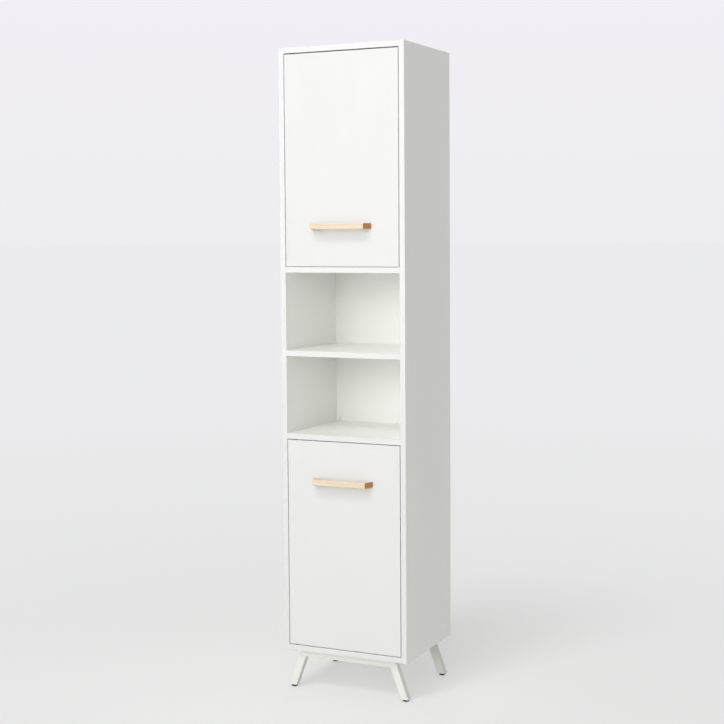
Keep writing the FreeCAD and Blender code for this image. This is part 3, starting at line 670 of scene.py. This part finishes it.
# the same, for a profile that closes on itself; it returns the faces that close it
def turnRing(shape, start, along, profile, segments):
    rings = turnInto(shape, start, along, profile, segments)
    closing = []
    for k in range(segments):
        near = (k + 1) % segments
        corners = (rings[-1][k], rings[-1][near], rings[0][near], rings[0][k])
        closing.append(shape.faces.new(corners))
    return closing


samePoint, sameRadius, endBand = 1e-6, 1e-4, 0.0004  # metres


# the solids of a CAD node, each as a list of points
def solidsOf(nodeName):
    shape = bmesh.new()
    shape.from_mesh(nodes[nodeName].data)
    bmesh.ops.remove_doubles(shape, verts=shape.verts, dist=samePoint)
    solids, seen = [], set()
    for vert in shape.verts:
        if vert in seen:
            continue
        seen.add(vert)
        found, waiting = [], [vert]
        while waiting:
            here = waiting.pop()
            found.append(here.co.copy())
            for edge in here.link_edges:
                there = edge.other_vert(here)
                if there not in seen:
                    seen.add(there)
                    waiting.append(there)
        solids.append(found)
    shape.free()
    return solids


def boxOf(points):
    return ([min(p[i] for p in points) for i in range(3)],
            [max(p[i] for p in points) for i in range(3)])


# start, direction, length and radius of a turned solid; it starts at the end that has the head
def axisOf(points, along=None):
    low, high = boxOf(points)
    size = [high[i] - low[i] for i in range(3)]
    if along is None:
        along = size.index(max(size))
    middle = [(low[i] + high[i]) / 2 for i in range(3)]

    def reach(end):
        near = [p for p in points if abs(p[along] - end) < endBand]
        across = [math.dist([p[i] for i in range(3) if i != along],
                            [middle[i] for i in range(3) if i != along]) for p in near]
        return max(across), len(near)

    first, last = reach(low[along]), reach(high[along])
    wider = last[0] > first[0] + sameRadius
    flip = wider or (abs(last[0] - first[0]) <= sameRadius and last[1] > first[1])
    start = list(middle)
    start[along] = high[along] if flip else low[along]
    direction = [0.0, 0.0, 0.0]
    direction[along] = -1.0 if flip else 1.0
    return Vector(start), Vector(direction), size[along], max(first[0], last[0])


# marks sunk into the flat face that a ring of points bounds; each is an outline, the depth
# of its sloping sides, and how far its floor is narrowed, with a point just below the floor
def sinkMarks(shape, ring, start, along, marks, point=1.15):
    axis = Vector(along).normalized()
    side = axis.orthogonal().normalized()
    other = axis.cross(side)
    edges = [shape.edges.get((ring[k], ring[(k + 1) % len(ring)])) for k in range(len(ring))]
    for outline, depth, narrow in marks:
        flat = [Vector(start) + side * x + other * y for x, y in outline]
        top = [shape.verts.new(spot) for spot in flat]
        centre = sum(flat, Vector()) / len(flat)
        low = [shape.verts.new(centre + (spot - centre) * narrow + axis * depth) for spot in flat]
        pit = shape.verts.new(centre + axis * depth * point)
        for k in range(len(top)):
            near = (k + 1) % len(top)
            edges.append(shape.edges.new((top[k], top[near])))
            shape.faces.new((top[k], top[near], low[near], low[k]))
            shape.faces.new((low[k], low[near], pit))
    bmesh.ops.triangle_fill(shape, edges=edges, use_beauty=True, use_dissolve=False)


# a cross with arms of the given reach and half width
def crossOutline(arm, half):
    corner = [(arm, -half), (arm, half), (half, half)]
    outline = []
    for quarter in range(4):
        c, s = round(math.cos(quarter * math.pi / 2)), round(math.sin(quarter * math.pi / 2))
        outline += [(x * c - y * s, x * s + y * c) for x, y in corner]
    return outline


# arm, half and shank are shares of the head's radius, tip a share of the shank's;
# heads holds the depth of each kind's head, roundHeads those that stand on a face
screwSet = {"segments": 32, "arm": 0.62, "half": 0.13, "recess": 0.0011, "narrow": 0.55,
            "rim": 0.00018, "shank": 0.5, "tip": 1.0, "crown": 0.78, "shoulder": 0.9,
            "flankFrom": 0.45}
heads = {"hinge_screws": 0.002, "strike_screws": 0.0009, "handle_screws": 0.002,
         "catch_screws": 0.002, "bracket_screws": 0.002, "stand_screws": 0.002}
roundHeads = ("handle_screws", "stand_screws")
doorScrews = ("hinge_screws", "strike_screws", "handle_screws")
cabinetScrews = ("catch_screws", "bracket_screws", "stand_screws")


# screws with a cross recess
def makeScrews(nodeName, kind, spec):
    depth = heads[kind]
    shape = bmesh.new()
    for points in solidsOf(nodeName):
        start, along, length, radius = axisOf(points)
        shank, rim = radius * spec["shank"], spec["rim"]
        if kind in roundHeads:
            profile = [(0, radius * spec["crown"]), (rim, radius * spec["shoulder"]),
                       (depth * spec["flankFrom"], radius), (depth, radius), (depth, shank)]
        else:  # countersunk
            profile = [(0, radius - rim), (rim, radius), (2 * rim, radius), (depth, shank)]
        profile += [(length - spec["tip"] * shank, shank), (length, 0)]
        rings = turnInto(shape, start, along, profile, spec["segments"])
        outline = crossOutline(radius * spec["arm"], radius * spec["half"])
        sinkMarks(shape, rings[0], start, along, [(outline, spec["recess"], spec["narrow"])])
    piece = addPiece(nodeName + "Cross", shape, finishes[slotOf[nodeName]])
    standFor(piece, nodeName)
    return piece


for doorName in ("upper", "lower"):
    for kind in doorScrews:
        makeScrews(doorName + "_" + kind, kind, screwSet)
for kind in cabinetScrews:
    makeScrews(kind, kind, screwSet)
print("stage: screws are built")


# arrowAt is the arrow's middle, arrowHalf half of its length and of its width
camSet = {"segments": 48, "rim": 0.0003, "arm": 0.0031, "half": 0.00062, "recess": 0.0024,
          "narrow": 0.7, "arrowAt": 0.0051, "arrowHalf": 0.0011, "arrowDepth": 0.0004,
          "arrowNarrow": 0.8}


# the cams' open faces: a chamfered rim, a cross recess and an arrow that points to the bolt
def makeCams(spec):
    shape = bmesh.new()
    for points in solidsOf("cam_locks"):
        start, along, length, radius = axisOf(points, along=2)
        rim = spec["rim"]
        profile = [(0, radius - rim), (rim, radius), (length - rim, radius), (length, radius - rim),
                   (length, 0)]
        rings = turnInto(shape, start, along, profile, spec["segments"])
        side = along.orthogonal().normalized()
        other = along.cross(side)
        toBolt = Vector((1.0 if start.x > 0 else -1.0, 0, 0))
        u, v = toBolt.dot(side), toBolt.dot(other)
        tip, half = spec["arrowAt"], spec["arrowHalf"]
        arrow = [(tip + half, 0), (tip - half, half), (tip - half, -half)]
        arrow = [(x * u - y * v, x * v + y * u) for x, y in arrow]
        sinkMarks(shape, rings[0], start, along,
                  [(crossOutline(spec["arm"], spec["half"]), spec["recess"], spec["narrow"]),
                   (arrow, spec["arrowDepth"], spec["arrowNarrow"])])
    piece = addPiece("camFaces", shape, finishes[slotOf["cam_locks"]])
    standFor(piece, "cam_locks")
    return piece


makeCams(camSet)
print("stage: cams are built")


# ease is the bore's small chamfer, dome the height of the rounded outer edge
ringSet = {"segments": 64, "bore": 0.00325, "ease": 0.0003, "dome": 0.0007}


# the rings of the wall-screw holes: a domed white face round a bore whose wall is painted near
# black as painted shade
def makeRings(spec):
    bore, ease, dome = spec["bore"], spec["ease"], spec["dome"]
    shape = bmesh.new()
    for points in solidsOf("back_hole_rings"):
        low, high = boxOf(points)
        radius, depth = (high[0] - low[0]) / 2, high[1] - low[1]
        centre = ((low[0] + high[0]) / 2, low[1], (low[2] + high[2]) / 2)
        profile = [(ease, bore), (0.0, bore + ease), (0.0, radius - 1.2 * dome),
                   (0.3 * dome, radius - 0.4 * dome), (dome, radius), (depth, radius),
                   (depth, bore)]
        for face in turnRing(shape, centre, (0, 1, 0), profile, spec["segments"]):
            face.material_index = 1
    piece = addPiece("wallHoleRings", shape, finishes[slotOf["back_hole_rings"]])
    # the bore's wall takes the painted shade
    piece.data.materials.append(plastics["paintedShadeBore"])
    standFor(piece, "back_hole_rings")
    return piece


makeRings(ringSet)
print("stage: wall-hole rings are built")


# the profile is (height above the floor, radius), from the middle of the foot to the stem's end
glideSet = {"segments": 64,
            "profile": [(0.0, 0.0), (0.0, 0.0052), (0.00025, 0.0062), (0.0009, 0.0073),
                        (0.0018, 0.0081), (0.0029, 0.00848), (0.0042, 0.0085),
                        (0.0052, 0.0083), (0.0058, 0.0078), (0.006, 0.0071),
                        (0.006, 0.0032), (0.0066, 0.003), (0.0176, 0.003),
                        (0.018, 0.0026), (0.018, 0.0)],
            "smoothAngle": 50.0}


# a foot turned in one piece: worn flat below, domed flank, eased shoulder, stem up into the plug
def makeGlide(nodeName, spec):
    low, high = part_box(nodeName)
    centre = ((low.x + high.x) / 2, (low.y + high.y) / 2, low.z)
    shape = bmesh.new()
    turnInto(shape, centre, (0, 0, 1), spec["profile"], spec["segments"])
    piece = addPiece(nodeName + "Foot", shape, finishes[slotOf[nodeName]],
                     smoothAngle=spec["smoothAngle"])
    standFor(piece, nodeName)
    return piece


for corner in ("front_left", "front_right", "rear_left", "rear_right"):
    makeGlide(corner + "_glide", glideSet)
print("stage: glides are built")
